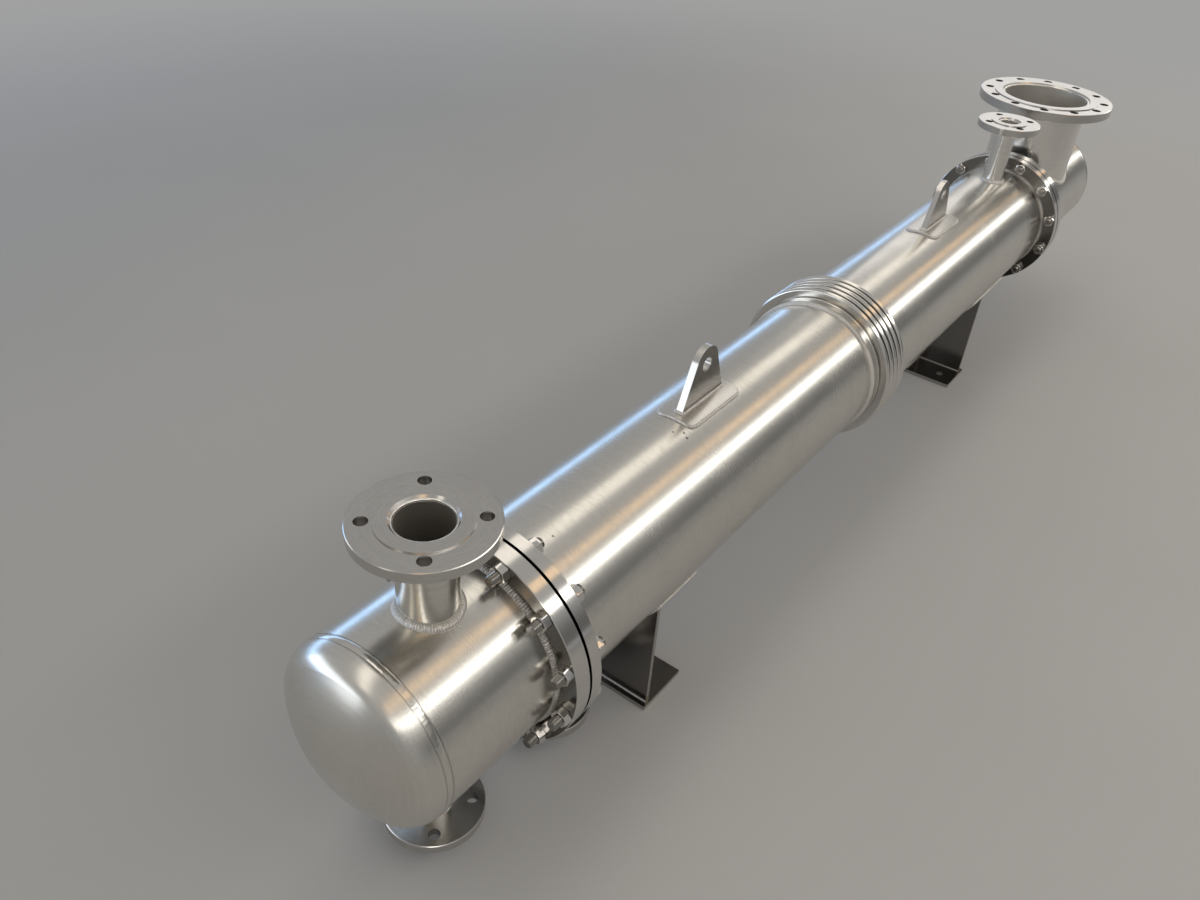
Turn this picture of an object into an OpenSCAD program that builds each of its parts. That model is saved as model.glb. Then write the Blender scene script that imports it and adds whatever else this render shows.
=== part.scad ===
// Shell and tube heat exchanger in stainless steel, lying on two plate saddles.
// Millimetres. X runs from the dished near end to the far end, Z is up.
// The origin lies on the floor, under the middle of the overall length.

/* [Shell] */
// Outside diameter of the shell and of both channels
shell_od = 273; // [227:0.5:290]
// Wall of the shell and channel barrels
shell_wall = 4; // [3:0.5:6]
// Height of the long axis above the floor
axis_height = 310; // [300:1:360]
// Clear distance between the two tubesheets
tubesheet_span = 1995; // [1600:5:2600]

/* [Body flanges] */
// Distance from the surface of the shell to the circle of studs
stud_offset = 19.5; // [17:0.5:32]
// Distance from the circle of studs to the rim of the flanges
flange_edge = 14; // [14:0.5:24]
// Thickness of each channel flange
channel_flange_thick = 28; // [20:1:40]
// Thickness of each tubesheet
tubesheet_thick = 22; // [16:1:40]
// Thickness of the flat gasket between them
gasket_thick = 3; // [2:0.5:5]
// Distance from the circle of studs to the rim of the gasket
gasket_inset = 10.5; // [9.5:0.5:14]
// Number of body studs on each end
stud_count = 12; // [8:4:16]
// Diameter of each body stud hole
stud_hole = 17.5; // [13:0.5:18]
// Height of the gasket seat above the rest of each flange
seat_step = 1; // [0.5:0.5:2]
// Bevel on the rims of flanges and tubesheets
rim_bevel = 1; // [0.5:0.25:2]

/* [Channels] */
// Distance from the near nozzle axis to the near channel flange
near_nozzle_setback = 92; // [80:1:140]
// Length of the near channel barrel
near_barrel_length = 199; // [190:1:300]
// Distance from the far nozzle axis to the far channel flange
far_nozzle_setback = 144; // [130:1:200]
// Length of the far channel barrel
far_barrel_length = 377; // [300:1:500]
// Straight skirt of each dished head
head_skirt = 3; // [2:1:30]
// Crown radius of each dished head
head_crown = 218; // [200:1:290]
// Knuckle radius of each dished head
head_knuckle = 42; // [27:1:45]
// Root gap left between head and barrel for the weld
weld_gap = 0.4; // [0.2:0.1:0.8]

/* [Tube bundle] */
// Outside diameter of each tube
tube_od = 25; // [16:0.5:30]
// Wall of each tube
tube_wall = 1.5; // [1:0.25:3]
// Centre distance of neighbouring tubes
tube_pitch = 32; // [31:0.5:48]
// Least distance between the outermost tubes and the shell wall
tube_edge = 20; // [10:1:60]
// Length of tube standing out of each tubesheet
tube_stick_out = 3; // [1:0.5:6]
// Radial clearance of a tube in its hole
tube_clearance = 0.2; // [0.1:0.05:0.5]
// Number of segmental baffles
baffle_count = 6; // [4:2:8]
// Thickness of each baffle
baffle_thick = 5; // [3:1:10]
// Radial clearance of a baffle in the shell
baffle_clearance = 0.6; // [0.4:0.1:0.9]
// Height of the window cut from each baffle
baffle_window = 62; // [40:1:90]

/* [Expansion bellows] */
// Distance of the bellows from the middle of the shell, towards the near end
bellows_setback = 12; // [-60:1:60]
// Number of convolutions
bellows_count = 5; // [3:1:7]
// Axial pitch of the convolutions
bellows_pitch = 18.2; // [13:0.1:22]
// Rise of the crests above the surface of the shell
bellows_rise = 23.5; // [18:0.5:34]
// Wall of the bellows
bellows_wall = 1.5; // [1:0.25:2.5]
// Straight tangent at each end of the bellows
bellows_tangent = 21.5; // [20:0.5:50]
// Length of each reinforcing collar
collar_length = 15; // [10:1:15]
// Radial thickness of each reinforcing collar
collar_thick = 4; // [3:0.5:6]
// Axial gap between collar and first convolution
collar_setback = 3; // [2:0.5:5]
// Fitting gap of a ring slipped over another
slip_gap = 0.1; // [0.05:0.05:0.3]
// Gap in the shell under the convolutions, beyond them each side
shell_end_setback = 9; // [6:1:12]

/* [Near top nozzle] */
// Height of the flange face above the long axis
n1_reach = 275; // [250:1:320]
// Outside diameter of the flange
n1_flange_od = 185; // [180:1:200]
// Thickness of the flange
n1_flange_thick = 18; // [14:1:24]
// Pitch circle diameter of the flange holes
n1_circle = 145; // [143:1:150]
// Diameter of each flange hole
n1_hole = 18; // [14:1:20]
// Number of flange holes
n1_count = 4; // [4:4:8]
// Outside diameter of the raised face
n1_face_od = 122; // [110:1:124]
// Outside diameter of the pipe
n1_pipe_od = 79.5; // [70:0.1:96]
// Wall of the pipe
n1_pipe_wall = 2.6; // [2:0.1:4]

/* [Near drain nozzle] */
// Distance of the drain axis from the near top nozzle, away from the flange
n2_offset = 10; // [0:1:20]
// Reach of the flange face below the long axis
n2_reach = 276; // [260:1:290]

/* [Shell nozzles] */
// Distance of the lower shell nozzle from the near tubesheet
n5_station = 97; // [85:1:115]
// Reach of its flange face below the long axis
n5_reach = 276; // [260:1:290]
// Distance of the upper shell nozzle from the far tubesheet
n3_station = 97; // [85:1:160]
// Height of its flange face above the long axis
n3_reach = 288; // [260:1:330]

/* [Small flanges] */
// Outside diameter of the small flanges
small_flange_od = 150; // [145:1:155]
// Thickness of the small flanges
small_flange_thick = 18; // [14:1:22]
// Pitch circle diameter of their holes
small_circle = 110; // [108:1:115]
// Diameter of each hole
small_hole = 18; // [14:1:18]
// Number of holes
small_count = 4; // [4:1:4]
// Outside diameter of their raised faces
small_face_od = 88; // [80:1:90]
// Outside diameter of the small pipes
small_pipe_od = 48.3; // [40:0.1:52]
// Wall of the small pipes
small_pipe_wall = 2.6; // [2:0.1:4]

/* [Far top nozzle] */
// Height of the flange face above the long axis
n4_reach = 295; // [260:1:330]
// Outside diameter of the flange
n4_flange_od = 340; // [335:1:345]
// Thickness of the flange
n4_flange_thick = 24; // [18:1:30]
// Pitch circle diameter of the flange holes
n4_circle = 295; // [293:1:305]
// Diameter of each flange hole
n4_hole = 22; // [16:1:22]
// Number of flange holes
n4_count = 12; // [8:4:12]
// Outside diameter of the raised face
n4_face_od = 268; // [256:1:270]
// Outside diameter of the pipe
n4_pipe_od = 219.1; // [200:0.1:224]
// Wall of the pipe
n4_pipe_wall = 4; // [3:0.5:6]

/* [Nozzle details] */
// Height of each raised face
face_height = 2; // [1:0.5:3]
// Depth of each pipe end below the flange face
pipe_recess = 6; // [4:0.5:9]
// Width of the bevel at the mouth of each flange
mouth_bevel = 3; // [2:0.5:5]
// Fitting gap between a pipe and what it is welded to
pipe_gap = 0.3; // [0.2:0.1:0.6]

/* [Saddles] */
// Distance from the near tubesheet to the outer edge of the near saddle
near_saddle_station = 217; // [200:1:400]
// Distance from the far tubesheet to the outer edge of the far saddle
far_saddle_station = 297; // [280:1:420]
// Length of each base plate across the axis
saddle_width = 240; // [220:1:260]
// Width of each base plate along the axis
saddle_depth = 107; // [95:1:130]
// Thickness of each base plate
saddle_base_thick = 8; // [6:1:14]
// Width of each web across the axis
web_width = 230; // [200:1:240]
// Thickness of the webs and ribs
web_thick = 8; // [5:1:12]
// Distance from the outer edge of the base plate to the web
web_margin = 11; // [5:1:20]
// Distance from the rib to the inner edge of the base plate
rib_setback = 7; // [5:1:30]
// Distance between the two anchor holes of a base plate
anchor_spacing = 162; // [120:1:180]
// Diameter of each anchor hole
anchor_hole = 18; // [12:1:22]
// Distance from the web to the line of anchor holes
anchor_station = 45; // [35:1:55]
// Thickness of each wear pad
wear_pad_thick = 4; // [3:0.5:6]
// Half angle of each wear pad about the bottom line
wear_pad_angle = 61; // [59:1:75]
// Length of the near wear pad along the axis
near_pad_length = 106; // [90:1:140]
// Length of the far wear pad along the axis
far_pad_length = 205; // [180:1:220]
// Fitting gap under each welded plate
plate_gap = 0.3; // [0.2:0.1:0.6]

/* [Lifting lugs] */
// Distance from the near tubesheet to the near lug
near_lug_station = 477; // [400:1:600]
// Distance from the far tubesheet to the far lug
far_lug_station = 502; // [420:1:620]
// Width of each lug along the axis at its foot
lug_width = 122; // [110:1:130]
// Thickness of each lug
lug_thick = 12; // [8:1:20]
// Height of the eye above the surface of the shell
lug_eye_rise = 71.5; // [56:0.5:100]
// Outer radius round the eye
lug_eye_radius = 32; // [26:1:44]
// Diameter of the eye
lug_eye = 26; // [18:1:30]
// Length of each lug pad along the axis
lug_pad_length = 150; // [140:1:180]
// Width of each lug pad over the shell
lug_pad_width = 70; // [60:1:100]
// Thickness of each lug pad
lug_pad_thick = 4; // [3:0.5:8]
// Corner radius of each lug pad
lug_pad_corner = 14; // [6:1:20]

/* [Hidden] */
$fn = 96;
shell_r = shell_od / 2;
bore_r = shell_r - shell_wall;
stud_circle = shell_od + 2 * stud_offset;
flange_r = stud_circle / 2 + flange_edge;
gasket_r = stud_circle / 2 - gasket_inset;
tube_reach = bore_r - tube_edge - tube_od / 2;
tube_rows = ceil(tube_reach / (tube_pitch * sqrt(3) / 2));
head_depth = head_crown - sqrt(pow(head_crown - head_knuckle, 2) - pow(shell_r - head_knuckle, 2));
// Stations along the axis, counted from the near top nozzle.
near_flange_x = near_nozzle_setback;
near_gasket_x = near_flange_x + channel_flange_thick;
near_sheet_x = near_gasket_x + gasket_thick;
shell_x = near_sheet_x + tubesheet_thick;
far_sheet_x = shell_x + tubesheet_span;
far_gasket_x = far_sheet_x + tubesheet_thick;
far_flange_x = far_gasket_x + gasket_thick;
far_barrel_x = far_flange_x + channel_flange_thick;
far_seam_x = far_barrel_x + far_barrel_length;
near_seam_x = near_flange_x - near_barrel_length;
n4_x = far_barrel_x + far_nozzle_setback;
n3_x = far_sheet_x - n3_station;
n5_x = shell_x + n5_station;
near_tip_x = near_seam_x - weld_gap - head_skirt - head_depth;
far_tip_x = far_seam_x + weld_gap + head_skirt + head_depth;
middle_x = (near_tip_x + far_tip_x) / 2;
bellows_x = shell_x + tubesheet_span / 2 - bellows_setback;
bellows_half = (bellows_count - 1) * bellows_pitch / 2;
bellows_inner_r = shell_r + slip_gap;
bellows_r = shell_r + bellows_rise;
bellows_end = bellows_half + bellows_pitch / 2;
near_saddle_x = shell_x + near_saddle_station;
far_saddle_x = far_sheet_x - far_saddle_station;
near_lug_x = shell_x + near_lug_station;
far_lug_x = far_sheet_x - far_lug_station;
pad_r = shell_r + plate_gap + wear_pad_thick;
lug_foot = shell_r + plate_gap + lug_pad_thick + plate_gap;
lug_eye_height = shell_r + lug_eye_rise;
rib_length = saddle_depth - web_margin - web_thick - plate_gap - rib_setback;
steel = [0.78, 0.78, 0.76];
plate_steel = [0.72, 0.72, 0.7];
dark = [0.12, 0.12, 0.12];

// Puts its children at a station along the axis, at axis height.
module at(station) {
    translate([station - middle_x, 0, axis_height])
        children();
}

// Rod along the axis, its near end at the origin.
module rod(radius, length) {
    rotate([0, 90, 0])
        cylinder(r = radius, h = length);
}

// Solid disc along the axis with a bevel on both rims.
module bevelled_disc(radius, length) {
    rotate([0, 90, 0])
        bevelled_plate(radius, length);
}

// Round plate standing on the origin with a bevel on both rims.
module bevelled_plate(radius, height) {
    rotate_extrude()
        polygon([[0, 0], [radius - rim_bevel, 0], [radius, rim_bevel], [radius, height - rim_bevel],
            [radius - rim_bevel, height], [0, height]]);
}

// Tube along the axis, its near end at the origin.
module ring(outer, inner, length) {
    difference() {
        rod(outer, length);
        translate([-1, 0, 0])
            rod(inner, length + 2);
    }
}

// Holes round a circle about the axis, straddling the top line.
module circle_of_holes(diameter, count, hole, length) {
    for (i = [0 : count - 1])
        rotate([(i + 0.5) * 360 / count, 0, 0])
            translate([-1, 0, diameter / 2])
                rod(hole / 2, length + 2);
}

// Half outline of a dished end, radius along X and depth along Y.
module dish_outline(radius, crown, knuckle, depth, skirt) {
    centre_y = depth - crown;
    side_x = radius - knuckle;
    reach = crown * 1.2 / (crown - knuckle);
    intersection() {
        translate([0, centre_y])
            circle(r = crown);
        polygon([[0, 0], [side_x, 0], [side_x * reach, centre_y + (0 - centre_y) * reach],
            [0, centre_y + (0 - centre_y) * reach]]);
    }
    intersection() {
        translate([side_x, 0])
            circle(r = knuckle);
        translate([side_x - knuckle / 2, 0])
            square([knuckle * 2, knuckle * 2]);
    }
    translate([0, -skirt])
        square([radius, skirt]);
}

// Dished head opening towards +X with its skirt end at the origin.
module dished_head() {
    rotate([0, -90, 0])
        rotate_extrude()
            difference() {
                translate([0, head_skirt])
                    dish_outline(shell_r, head_crown, head_knuckle, head_depth, head_skirt);
                translate([0, head_skirt])
                    dish_outline(bore_r, head_crown - shell_wall, head_knuckle - shell_wall,
                        head_depth - shell_wall, head_skirt + 1);
            }
}

module near_head() {
    color(steel)
        at(near_seam_x - weld_gap)
            dished_head();
}

module far_head() {
    color(steel)
        at(far_seam_x + weld_gap)
            mirror([1, 0, 0])
                dished_head();
}

module near_channel() {
    color(steel)
        at(near_seam_x)
            difference() {
                ring(shell_r, bore_r, near_barrel_length - weld_gap);
                translate([-near_seam_x, 0, 0])
                    cylinder(r = n1_pipe_od / 2 - n1_pipe_wall, h = shell_od);
                translate([-near_seam_x - n2_offset, 0, -shell_od])
                    cylinder(r = small_pipe_od / 2 - small_pipe_wall, h = shell_od);
            }
}

module far_channel() {
    color(steel)
        at(far_barrel_x + weld_gap)
            difference() {
                ring(shell_r, bore_r, far_barrel_length - weld_gap);
                translate([far_nozzle_setback - weld_gap, 0, 0])
                    cylinder(r = n4_pipe_od / 2 - n4_pipe_wall, h = shell_od);
            }
}

// Channel flange with its gasket face at the far end, before mirroring.
module channel_flange() {
    difference() {
        bevelled_disc(flange_r, channel_flange_thick);
        translate([-1, 0, 0])
            rod(bore_r, channel_flange_thick + 2);
        circle_of_holes(stud_circle, stud_count, stud_hole, channel_flange_thick);
        translate([channel_flange_thick - seat_step, 0, 0])
            ring(flange_r + 1, gasket_r, seat_step + 1);
    }
}

module near_channel_flange() {
    color(steel)
        at(near_flange_x)
            channel_flange();
}

module far_channel_flange() {
    color(steel)
        at(far_barrel_x)
            mirror([1, 0, 0])
                channel_flange();
}

module near_gasket() {
    color(dark)
        at(near_gasket_x + slip_gap)
            ring(gasket_r, bore_r, gasket_thick - 2 * slip_gap);
}

module far_gasket() {
    color(dark)
        at(far_gasket_x + slip_gap)
            ring(gasket_r, bore_r, gasket_thick - 2 * slip_gap);
}

// Places its children at every tube position of the hexagonal layout that the shell has room for.
module tube_field() {
    for (row = [-tube_rows : tube_rows])
        for (step = [-tube_rows : tube_rows]) {
            y = (step + (row % 2) / 2) * tube_pitch;
            z = row * tube_pitch * sqrt(3) / 2;
            if (norm([y, z]) <= tube_reach)
                translate([0, y, z])
                    children();
        }
}

// Tubesheet drilled for the studs and for every tube.
module tubesheet() {
    difference() {
        bevelled_disc(flange_r, tubesheet_thick);
        circle_of_holes(stud_circle, stud_count, stud_hole, tubesheet_thick);
        translate([-1, 0, 0])
            tube_field()
                rod(tube_od / 2 + tube_clearance, tubesheet_thick + 2);
        translate([-1, 0, 0])
            ring(flange_r + 1, gasket_r, seat_step + 1);
    }
}

module near_tubesheet() {
    color(steel)
        at(near_sheet_x)
            tubesheet();
}

module far_tubesheet() {
    color(steel)
        at(far_gasket_x)
            mirror([1, 0, 0])
                tubesheet();
}

module tube_bundle() {
    color(plate_steel)
        at(near_sheet_x - tube_stick_out)
            tube_field()
                ring(tube_od / 2, tube_od / 2 - tube_wall,
                    tubesheet_span + 2 * tubesheet_thick + 2 * tube_stick_out);
}

// Segmental baffle with its window at the top.
module baffle() {
    difference() {
        rod(bore_r - baffle_clearance, baffle_thick);
        tube_field()
            translate([-1, 0, 0])
                rod(tube_od / 2 + tube_clearance, baffle_thick + 2);
        translate([-1, -shell_od, bore_r - baffle_window])
            cube([baffle_thick + 2, shell_od * 2, shell_od]);
    }
}

module baffles() {
    spacing = tubesheet_span / (baffle_count + 1);
    color(plate_steel)
        for (i = [1 : baffle_count])
            at(shell_x + i * spacing)
                rotate([(i % 2) * 180, 0, 0])
                    baffle();
}

module near_shell() {
    length = bellows_x - shell_x - bellows_end - shell_end_setback;
    color(steel)
        at(shell_x + weld_gap)
            difference() {
                ring(shell_r, bore_r, length);
                translate([n5_station - weld_gap, 0, -shell_od])
                    cylinder(r = small_pipe_od / 2 - small_pipe_wall, h = shell_od);
            }
}

module far_shell() {
    start = bellows_x + bellows_end + shell_end_setback;
    color(steel)
        at(start)
            difference() {
                ring(shell_r, bore_r, far_sheet_x - start - weld_gap);
                translate([n3_x - start, 0, 0])
                    cylinder(r = small_pipe_od / 2 - small_pipe_wall, h = shell_od);
            }
}

// Half of a thin ring in the profile plane, open towards +Y or closed there.
module half_ring(radius, side) {
    intersection() {
        difference() {
            circle(r = radius + bellows_wall / 2);
            circle(r = radius - bellows_wall / 2);
        }
        translate([-radius * 2, side > 0 ? 0 : -radius * 2])
            square([radius * 4, radius * 2]);
    }
}

// Profile of the bellows, drawn with the axis along X and the radius along Y.
module bellows_profile() {
    bend = bellows_pitch / 4;
    root_y = bellows_inner_r + bellows_wall / 2 + bend;
    crest_y = bellows_r - bellows_wall / 2 - bend;
    first = -bellows_half;
    for (i = [0 : bellows_count - 1]) {
        translate([first + i * bellows_pitch, crest_y])
            half_ring(bend, 1);
        for (side = [-1, 1])
            translate([first + i * bellows_pitch + side * bend - bellows_wall / 2, root_y])
                square([bellows_wall, crest_y - root_y]);
    }
    for (i = [0 : bellows_count - 2])
        translate([first + (i + 0.5) * bellows_pitch, root_y])
            half_ring(bend, -1);
    for (side = [-1, 1]) {
        intersection() {
            translate([side * bellows_end, root_y])
                half_ring(bend, -1);
            translate([side > 0 ? 0 : -bellows_end, 0])
                square([bellows_end, bellows_r]);
        }
        translate([side > 0 ? bellows_end : -bellows_end - bellows_tangent, bellows_inner_r])
            square([bellows_tangent, bellows_wall]);
    }
}

module bellows() {
    color(steel)
        at(bellows_x)
            rotate([0, 90, 0])
                rotate_extrude()
                    rotate([0, 0, 90])
                        mirror([0, 1, 0])
                            bellows_profile();
}

// Reinforcing collar over one tangent of the bellows.
module collar() {
    inner = bellows_inner_r + bellows_wall + slip_gap;
    ring(inner + collar_thick, inner, collar_length);
}

module near_collar() {
    color(steel)
        at(bellows_x - bellows_end - collar_setback - collar_length)
            collar();
}

module far_collar() {
    color(steel)
        at(bellows_x + bellows_end + collar_setback)
            collar();
}

// Pipe standing on the shell, its open end a little below the flange face.
module nozzle_pipe(pipe_od, pipe_wall, reach) {
    difference() {
        cylinder(r = pipe_od / 2, h = reach - pipe_recess);
        translate([0, 0, -1])
            cylinder(r = pipe_od / 2 - pipe_wall, h = reach);
        translate([-shell_od, 0, 0])
            rod(shell_r + pipe_gap, shell_od * 2);
    }
}

// Flat welding flange with a raised face, its face at the given reach.
module nozzle_flange(reach, od, thick, pcd, count, hole, face_od, pipe_od) {
    translate([0, 0, reach])
        difference() {
            union() {
                translate([0, 0, -thick])
                    bevelled_plate(od / 2, thick - face_height);
                translate([0, 0, -thick])
                    cylinder(r = face_od / 2, h = thick);
            }
            translate([0, 0, -thick - 1])
                cylinder(r = pipe_od / 2 + pipe_gap, h = thick + 2);
            translate([0, 0, -mouth_bevel])
                cylinder(r1 = pipe_od / 2 + pipe_gap, r2 = pipe_od / 2 + pipe_gap + mouth_bevel * 2,
                    h = mouth_bevel * 2);
            for (i = [0 : count - 1])
                rotate([0, 0, (i + 0.5) * 360 / count])
                    translate([pcd / 2, 0, -thick - 1])
                        cylinder(r = hole / 2, h = thick + 2);
        }
}

module small_flange(reach) {
    nozzle_flange(reach, small_flange_od, small_flange_thick, small_circle, small_count, small_hole,
        small_face_od, small_pipe_od);
}

module inlet_pipe() {
    color(steel)
        at(0)
            nozzle_pipe(n1_pipe_od, n1_pipe_wall, n1_reach);
}

module inlet_flange() {
    color(steel)
        at(0)
            nozzle_flange(n1_reach, n1_flange_od, n1_flange_thick, n1_circle, n1_count, n1_hole,
                n1_face_od, n1_pipe_od);
}

module drain_pipe() {
    color(steel)
        at(-n2_offset)
            rotate([180, 0, 0])
                nozzle_pipe(small_pipe_od, small_pipe_wall, n2_reach);
}

module drain_flange() {
    color(steel)
        at(-n2_offset)
            rotate([180, 0, 0])
                small_flange(n2_reach);
}

module shell_drain_pipe() {
    color(steel)
        at(n5_x)
            rotate([180, 0, 0])
                nozzle_pipe(small_pipe_od, small_pipe_wall, n5_reach);
}

module shell_drain_flange() {
    color(steel)
        at(n5_x)
            rotate([180, 0, 0])
                small_flange(n5_reach);
}

module shell_vent_pipe() {
    color(steel)
        at(n3_x)
            nozzle_pipe(small_pipe_od, small_pipe_wall, n3_reach);
}

module shell_vent_flange() {
    color(steel)
        at(n3_x)
            small_flange(n3_reach);
}

module outlet_pipe() {
    color(steel)
        at(n4_x)
            nozzle_pipe(n4_pipe_od, n4_pipe_wall, n4_reach);
}

module outlet_flange() {
    color(steel)
        at(n4_x)
            nozzle_flange(n4_reach, n4_flange_od, n4_flange_thick, n4_circle, n4_count, n4_hole,
                n4_face_od, n4_pipe_od);
}

// Curved plate under the shell, starting at the origin.
module wear_pad(length) {
    reach = pad_r * 2;
    intersection() {
        ring(pad_r, shell_r + plate_gap, length);
        rotate([90, 0, 90])
            translate([0, 0, -1])
                linear_extrude(height = length + 2)
                    polygon([[0, 0], [-reach * sin(wear_pad_angle), -reach * cos(wear_pad_angle)],
                        [-reach, -reach * 2], [reach, -reach * 2],
                        [reach * sin(wear_pad_angle), -reach * cos(wear_pad_angle)]]);
    }
}

// Upright plate across the axis, cut to the wear pad.
module saddle_web() {
    height = axis_height - saddle_base_thick - plate_gap;
    difference() {
        translate([web_margin, -web_width / 2, -height])
            cube([web_thick, web_width, height - shell_r * cos(wear_pad_angle + 4)]);
        translate([-1, 0, 0])
            rod(pad_r + plate_gap, saddle_depth);
    }
}

// Upright plate along the axis, between the web and the inner edge.
module saddle_rib() {
    height = axis_height - saddle_base_thick - plate_gap;
    difference() {
        translate([web_margin + web_thick + plate_gap, -web_thick / 2, -height])
            cube([rib_length, web_thick, height - shell_r / 2]);
        translate([-1, 0, 0])
            rod(pad_r + plate_gap, saddle_depth * 2);
    }
}

// Base plate with one anchor hole on each side of the rib.
module saddle_base() {
    translate([0, 0, -axis_height])
        difference() {
            translate([0, -saddle_width / 2, 0])
                cube([saddle_depth, saddle_width, saddle_base_thick]);
            for (side = [-1, 1])
                translate([web_margin + web_thick + anchor_station, side * anchor_spacing / 2, -1])
                    cylinder(r = anchor_hole / 2, h = saddle_base_thick + 2);
        }
}

module near_wear_pad() {
    color(plate_steel)
        at(near_saddle_x)
            wear_pad(near_pad_length);
}

module near_saddle_web() {
    color(plate_steel)
        at(near_saddle_x)
            saddle_web();
}

module near_saddle_rib() {
    color(plate_steel)
        at(near_saddle_x)
            saddle_rib();
}

module near_saddle_base() {
    color(plate_steel)
        at(near_saddle_x)
            saddle_base();
}

module far_wear_pad() {
    color(plate_steel)
        at(far_saddle_x - saddle_depth)
            wear_pad(far_pad_length);
}

module far_saddle_web() {
    color(plate_steel)
        at(far_saddle_x)
            mirror([1, 0, 0])
                saddle_web();
}

module far_saddle_rib() {
    color(plate_steel)
        at(far_saddle_x)
            mirror([1, 0, 0])
                saddle_rib();
}

module far_saddle_base() {
    color(plate_steel)
        at(far_saddle_x)
            mirror([1, 0, 0])
                saddle_base();
}

// Rounded plate outline drawn about its middle.
module rounded_outline(length, width, corner) {
    square([length - 2 * corner, width], center = true);
    square([length, width - 2 * corner], center = true);
    for (sx = [-1, 1])
        for (sy = [-1, 1])
            translate([sx * (length / 2 - corner), sy * (width / 2 - corner)])
                circle(r = corner);
}

// Curved pad with rounded corners on the crown of the shell.
module lug_pad() {
    intersection() {
        translate([-lug_pad_length, 0, 0])
            ring(shell_r + plate_gap + lug_pad_thick, shell_r + plate_gap, lug_pad_length * 2);
        linear_extrude(height = shell_od)
            rounded_outline(lug_pad_length, lug_pad_width, lug_pad_corner);
    }
}

// Tapered lug plate with a round eye.
module lug() {
    rise = lug_eye_height - lug_foot;
    half = lug_width / 2;
    slope = atan2(rise, half);
    swing = acos(lug_eye_radius / sqrt(rise * rise + half * half));
    touch = swing - slope;
    rotate([90, 0, 0])
        translate([0, 0, -lug_thick / 2])
            difference() {
                linear_extrude(height = lug_thick) {
                    polygon([[-half, lug_foot], [half, lug_foot],
                        [lug_eye_radius * cos(touch), lug_eye_height + lug_eye_radius * sin(touch)],
                        [-lug_eye_radius * cos(touch), lug_eye_height + lug_eye_radius * sin(touch)]]);
                    translate([0, lug_eye_height])
                        circle(r = lug_eye_radius);
                }
                translate([0, lug_eye_height, -1])
                    cylinder(r = lug_eye / 2, h = lug_thick + 2);
            }
}

module near_lug_pad() {
    color(plate_steel)
        at(near_lug_x)
            lug_pad();
}

module near_lug() {
    color(plate_steel)
        at(near_lug_x)
            lug();
}

module far_lug_pad() {
    color(plate_steel)
        at(far_lug_x)
            lug_pad();
}

module far_lug() {
    color(plate_steel)
        at(far_lug_x)
            lug();
}

near_head();
near_channel();
near_channel_flange();
near_gasket();
near_tubesheet();
tube_bundle();
baffles();
near_shell();
near_collar();
bellows();
far_collar();
far_shell();
far_tubesheet();
far_gasket();
far_channel_flange();
far_channel();
far_head();
inlet_pipe();
inlet_flange();
drain_pipe();
drain_flange();
shell_drain_pipe();
shell_drain_flange();
shell_vent_pipe();
shell_vent_flange();
outlet_pipe();
outlet_flange();
near_wear_pad();
near_saddle_web();
near_saddle_rib();
near_saddle_base();
far_wear_pad();
far_saddle_web();
far_saddle_rib();
far_saddle_base();
near_lug_pad();
near_lug();
far_lug_pad();
far_lug();
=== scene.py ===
"""Looks of a horizontal shell and tube heat exchanger in brushed stainless steel.

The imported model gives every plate, barrel, flange and pipe in its place. This script dresses
them, adds the studs, nuts and weld beads, and sets up the studio and the camera.
"""

import logging
import math
import random
from collections.abc import Callable, Iterator, Sequence
from contextlib import contextmanager
from dataclasses import dataclass
from enum import Enum

import bmesh
import bpy
from mathutils import Matrix, Vector


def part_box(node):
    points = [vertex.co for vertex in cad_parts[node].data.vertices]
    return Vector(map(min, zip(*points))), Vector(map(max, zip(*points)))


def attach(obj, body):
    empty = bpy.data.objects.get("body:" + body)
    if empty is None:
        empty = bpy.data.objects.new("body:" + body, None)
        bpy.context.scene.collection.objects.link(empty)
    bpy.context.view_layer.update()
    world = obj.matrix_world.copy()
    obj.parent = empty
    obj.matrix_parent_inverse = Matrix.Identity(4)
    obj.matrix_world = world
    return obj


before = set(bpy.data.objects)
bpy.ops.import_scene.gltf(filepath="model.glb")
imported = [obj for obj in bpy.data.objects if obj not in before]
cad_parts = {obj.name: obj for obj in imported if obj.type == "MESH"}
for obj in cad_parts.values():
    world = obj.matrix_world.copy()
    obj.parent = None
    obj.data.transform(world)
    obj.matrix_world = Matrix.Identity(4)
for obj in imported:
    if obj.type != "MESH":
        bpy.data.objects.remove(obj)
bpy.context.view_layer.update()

LOG = logging.getLogger("exchanger")

Triple = tuple[float, float, float]
Piece = bpy.types.Object
Material = bpy.types.Material
Part = bmesh.types.BMFace | bmesh.types.BMEdge

MM = 0.001
AXIS_HEIGHT = 0.310
BARREL_RADIUS = 136.5 * MM


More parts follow.
